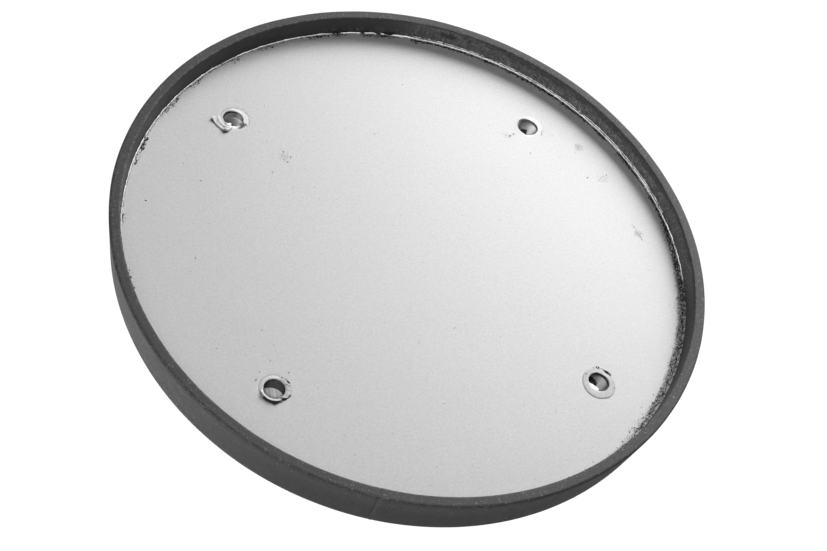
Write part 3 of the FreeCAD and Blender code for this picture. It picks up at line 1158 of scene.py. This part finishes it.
def scatter(seed, count, start, end, r_mm, spread, y_mm, sizes, clump=0.0, stretch=(1.0, 2.2)):
    """Random crumbs along an arc; clump above 0 leaves only those where a slow noise is high."""
    rng = random.Random(seed)
    spots = []
    for _ in range(count):
        angle = rng.uniform(start, end)
        r = r_mm - abs(rng.gauss(0, spread))
        y = abs(rng.gauss(0, y_mm))
        size = rng.uniform(*sizes) * (1.6 if rng.random() < 0.08 else 1.0)
        turn = math.radians(90 - angle) + rng.uniform(-0.5, 0.5)
        wide, shade = rng.uniform(*stretch), rng.uniform(0, 50)
        if ripple(angle, 11, seed) > clump - 0.6:
            centre = around(angle, r * MM, REAR_PLANE + (y + 0.1) * MM)
            spots.append((centre, size, 0.6, wide, turn, shade))
    return spots


# The seam lamp lights the pieces of this collection only.
SEAM_THREADS = bpy.data.collections.new("seam_threads")


def seam_pieces():
    """Fillet, bright threads, dark grit and white crumbs; thread rows match strand's arguments."""
    place(seam_base(), "sealant", "seam_bead")
    threads = [
        ("seam_thread_main", -9, 97, 214.5, 1.1, 0.82, 1.0, 0.02),
        ("seam_thread_upper", 92, 156, 214.5, 1.0, 0.80, 4.0, 0.14),
        ("seam_thread_second", 8, 82, 214.8, 2.6, 0.75, 11.0, 0.30),
        ("seam_thread_left", 150, 212, 214.3, 0.8, 0.95, 17.0, 0.16),
    ]
    for row in threads:
        thread = place(strand(*row), "sealant", "seam_bead")
        SEAM_THREADS.objects.link(thread)
    dark = scatter(1, 950, -50, 6, 214.4, 2.5, 0.35, (0.2, 0.75))
    dark += scatter(8, 260, -80, -48, 214.4, 1.3, 0.3, (0.2, 0.6), clump=0.4)
    dark += scatter(2, 900, 2, 104, 213.6, 1.3, 0.4, (0.3, 0.95), clump=0.35)
    dark += scatter(3, 420, 104, 205, 213.4, 1.2, 0.3, (0.3, 0.9), clump=0.70)
    dark += scatter(4, 26, 84, 98, 214.8, 0.3, 1.6, (0.8, 1.6), stretch=(2.0, 4.0))
    dark += scatter(7, 18, 152, 157, 213.2, 1.2, 0.5, (0.6, 1.4))
    place(pebbles("seam_grit", GRIT, dark), "sealant", "seam_bead")
    light = scatter(5, 620, -54, 4, 214.0, 2.6, 0.6, (0.25, 0.8))
    light += scatter(6, 260, 40, 214, 214.2, 0.9, 0.7, (0.3, 1.1), clump=0.5)
    place(pebbles("seam_chips", CHIP, light), "sealant", "seam_bead")


seam_pieces()

# ---------------------------------------------------------------- specks and chips on the back

# Right and up from the middle as seen from behind, and size, all in mm.
SPECKS = [(-86, 89, 0.9), (-81, 84, 0.8), (-84, 79, 1.1), (-97, 69, 0.7), (-152, 60, 0.8),
          (-194, 41, 1.0), (-163, 76, 0.6), (21, 161, 0.7), (-11, 109, 0.6), (115, 93, 0.6),
          (158, 69, 0.9), (175, 72, 0.7), (167, 66, 0.7), (19, -72, 0.6), (-1, -135, 0.6),
          (-163, -10, 0.9), (-168, -22, 0.6), (-123, -72, 0.6), (-120, -97, 0.6), (-76, -158, 0.6)]
# Small dark chips round the holes: hole, right, up, size.
LL, LR, UR = "lower_left", "lower_right", "upper_right"
HOLE_CHIPS = [(LR, 2.4, 11.7, 1.3), (LR, 7.4, 8.1, 2.2), (LR, 10.2, 5.3, 1.2), (LR, 10.5, -5.8, 0.8),
              (LL, 10.3, 4.6, 1.6), (LL, 9.0, 7.2, 0.7), (LL, -12.0, 7.5, 0.8), (LR, -8.0, 6.6, 1.0),
              (LR, 8.6, 7.0, 1.5), (LR, 9.4, 5.4, 1.3), (LR, 5.8, 9.7, 1.0), (LR, 4.4, 10.7, 0.7),
              (LR, 1.0, 12.3, 1.0), (LR, -1.6, 11.8, 0.6), (LR, 11.0, -1.2, 0.6), (LR, -9.2, 6.9, 0.7),
              (LR, 9.9, 6.6, 0.8), (LL, 6.1, 8.9, 0.9), (LL, 9.8, 5.4, 1.5), (LL, 10.2, 2.0, 0.9),
              (LL, 10.4, -1.6, 0.8), (LL, 8.8, 2.9, 0.9), (LL, -8.8, 13.6, 0.6), (LL, 11.4, 12.6, 0.8),
              (UR, 9.4, -5.3, 0.7), (UR, 8.8, -8.1, 0.8), (UR, -18.7, -10.0, 1.1), (UR, -15.2, -7.7, 0.9)]


def back_specks():
    """The marks in the lists, a fine scatter over the back and a short scratch of crumbs at the right."""
    rng = random.Random(5)
    spots = []
    for right, up, size in SPECKS:
        centre = Vector((-right * MM, REAR_PLANE + 0.05 * MM, up * MM))
        spots.append((centre, size * 1.15, 0.25, rng.uniform(1, 2.2), rng.uniform(0, 3),
                      rng.uniform(0, 50)))
    for _ in range(150):
        angle, r = rng.uniform(0, 360), 205 * math.sqrt(rng.random())
        spots.append((around(angle, r * MM, REAR_PLANE + 0.03 * MM), rng.uniform(0.25, 0.5), 0.25,
                      rng.uniform(1, 2), rng.uniform(0, 3), rng.uniform(0, 50)))
    for _ in range(16):
        t = rng.random()
        right = 184 + 5 * t + rng.gauss(0, 0.5)
        centre = Vector((-right * MM, REAR_PLANE + 0.05 * MM, (23 - 16 * t) * MM))
        spots.append((centre, rng.uniform(0.3, 0.7), 0.25, rng.uniform(1.5, 3), 1.3, rng.uniform(0, 50)))
    for hole, right, up, size in HOLE_CHIPS:
        spots.append((local(hole, right, up, 0.45), size, 0.35, 1.5, rng.uniform(0, 3), rng.uniform(0, 50)))
    place(pebbles("back_specks", GRIT, spots), "white_skin")


back_specks()

# ---------------------------------------------------------------- stage, lights and camera


WHITE = (1, 1, 1, 1)
# The floor: half its side, its height, its grey, and how bright it looks to the camera.
FLOOR_HALF, FLOOR_Z, FLOOR_GREY, FLOOR_TONE = 1.8, -2.3, 0.72, 0.82
BRIGHT_SKY = Vector((0.0, 0.5, 0.85))
AMBIENT_LOW, AMBIENT_HIGH = 0.01, 0.13
# Soft glow ahead of the mirror, which only reflections see.
ROOM_AHEAD = Vector((0.0, -0.9, 0.42))
ROOM_GLOW = 0.85
SEEN_WHITE = 1.05
KEY_POWER = 177.0
FILL_POWER = 10.0
EYE_POWER = 1.6
FRONT_POWER = 10.0
SEAM_POWER = 14.0
# Lamps on the viewer's side, one for each bore.
BORE_LIGHTS = {"upper_left": 38.0, "upper_right": 66.0, "lower_right": 36.0, "lower_left": 20.0}
BORE_LAMP_AWAY = 0.86


def make_floor():
    s = Shader("floor", roughness=0.8)
    s.bsdf.inputs["Base Color"].default_value = (FLOOR_GREY, FLOOR_GREY, FLOOR_GREY, 1)
    pale = s.add("ShaderNodeEmission", {"Strength": FLOOR_TONE}).outputs[0]
    seen = s.add("ShaderNodeLightPath").outputs["Is Camera Ray"]
    mix = s.add("ShaderNodeMixShader", {0: seen, 1: s.bsdf.outputs[0], 2: pale})
    s.put(mix.outputs[0], s.tree.nodes["Material Output"].inputs["Surface"])
    corners = [(x * FLOOR_HALF, y * FLOOR_HALF, FLOOR_Z) for x, y in ((-1, -1), (1, -1), (1, 1), (-1, 1))]
    floor = new_mesh("floor", corners, [(0, 1, 2, 3)], s.material, smooth=False)


def sky_glow(graph, direction, from_low, low, high, curve="LINEAR", from_high=1.0):
    """Background that brightens from low to high towards a direction."""
    view = graph.add("ShaderNodeTexCoord").outputs["Generated"]
    facing = graph.add("ShaderNodeVectorMath", {0: view, 1: direction.normalized()},
                       operation="DOT_PRODUCT").outputs["Value"]
    strength = graph.map_range(facing, low, high, from_low, from_high, curve)
    return graph.add("ShaderNodeBackground", {"Color": WHITE, "Strength": strength}).outputs[0]


def make_world():
    """Soft sky, a glow that glossy rays alone see, and plain white to the camera."""
    world = bpy.data.worlds.new("studio")
    bpy.context.scene.world = world
    world.use_nodes = True
    world.node_tree.nodes.clear()
    g = Graph(world.node_tree)
    ray = g.add("ShaderNodeLightPath").outputs
    soft = sky_glow(g, BRIGHT_SKY, -1.0, AMBIENT_LOW, AMBIENT_HIGH)
    room = sky_glow(g, ROOM_AHEAD, 0.30, 0.0, ROOM_GLOW, "SMOOTHSTEP", 0.98)
    both = g.add("ShaderNodeAddShader", {0: soft, 1: room}).outputs[0]
    lit = g.add("ShaderNodeMixShader", {0: ray["Is Glossy Ray"], 1: soft, 2: both}).outputs[0]
    seen = g.add("ShaderNodeBackground", {"Color": WHITE, "Strength": SEEN_WHITE}).outputs[0]
    shown = g.add("ShaderNodeMixShader", {0: ray["Is Camera Ray"], 1: lit, 2: seen}).outputs[0]
    g.add("ShaderNodeOutputWorld", {"Surface": shown})


def hang(name, kind, power, place_at, outward, **settings):
    """Lamp at a place, shining against the outward direction."""
    data = bpy.data.lights.new(name, kind)
    data.energy = power
    for key, value in settings.items():
        setattr(data, key, value)
    lamp = bpy.data.objects.new(name, data)
    lamp.location = place_at
    lamp.rotation_euler = outward.to_track_quat("Z", "Y").to_euler()
    bpy.context.scene.collection.objects.link(lamp)
    return lamp


def area_light(name, direction, distance, size, power):
    """Round soft lamp that shines at the middle of the head."""
    spot = Vector(direction).normalized() * distance
    return hang(name, "AREA", power, spot, spot, shape="DISK", size=size)


def bore_light(hole, power):
    """Narrow lamp on the viewer's side that reaches down one bore."""
    mouth = local(hole, 0, 0)
    towards = (camera_place() - mouth).normalized()
    hang("bore_" + hole, "SPOT", power, mouth + towards * BORE_LAMP_AWAY, towards,
         spot_size=math.radians(1.0), spot_blend=0.6, shadow_soft_size=0.002)


def seen_direction(angle, lift):
    """Direction at that angle round the head as seen from behind, lifted towards the viewer."""
    a, e = math.radians(angle), math.radians(lift)
    return (-math.cos(a) * math.cos(e), math.sin(e), math.sin(a) * math.cos(e))


# Camera: behind, below and to the left of the head, looking up at its back.
AZIMUTH = 159.07
ELEVATION = -33.33
ROLL = -11.96
DISTANCE = 1.2353
AIM = Vector((0.0037, 0.0, -0.0256))
LENS = 73.33


def camera_back():
    az, el = math.radians(AZIMUTH), math.radians(ELEVATION)
    return Vector((math.sin(az) * math.cos(el), -math.cos(az) * math.cos(el), math.sin(el)))


def camera_place():
    return AIM + camera_back() * DISTANCE


def make_camera():
    az, roll = math.radians(AZIMUTH), math.radians(ROLL)
    back = camera_back()
    level = Vector((math.cos(az), math.sin(az), 0))
    upright = back.cross(level)
    right = level * math.cos(roll) + upright * math.sin(roll)
    up = back.cross(right)
    camera = bpy.data.objects.new("camera", bpy.data.cameras.new("camera"))
    camera.data.lens = LENS
    camera.data.sensor_width = 36.0
    place_at = camera_place()
    camera.matrix_world = Matrix((
        (right.x, up.x, back.x, place_at.x),
        (right.y, up.y, back.y, place_at.y),
        (right.z, up.z, back.z, place_at.z),
        (0, 0, 0, 1)))
    bpy.context.scene.collection.objects.link(camera)
    bpy.context.scene.camera = camera


make_floor()
make_world()
area_light("key", seen_direction(50.2, 30.1), 4.0, 3.0, KEY_POWER)
area_light("fill_left", seen_direction(207, 2), 1.6, 0.6, FILL_POWER)
area_light("eye", seen_direction(226, 48), 1.3, 0.6, EYE_POWER)
area_light("front", (0.25, -1.0, 0.30), 3.0, 1.6, FRONT_POWER)
seam_light = area_light("seam", seen_direction(226, 48), 1.3, 0.6, SEAM_POWER)
seam_light.light_linking.receiver_collection = SEAM_THREADS
for hole, power in BORE_LIGHTS.items():
    bore_light(hole, power)
make_camera()
bpy.context.scene.view_settings.view_transform = "Standard"
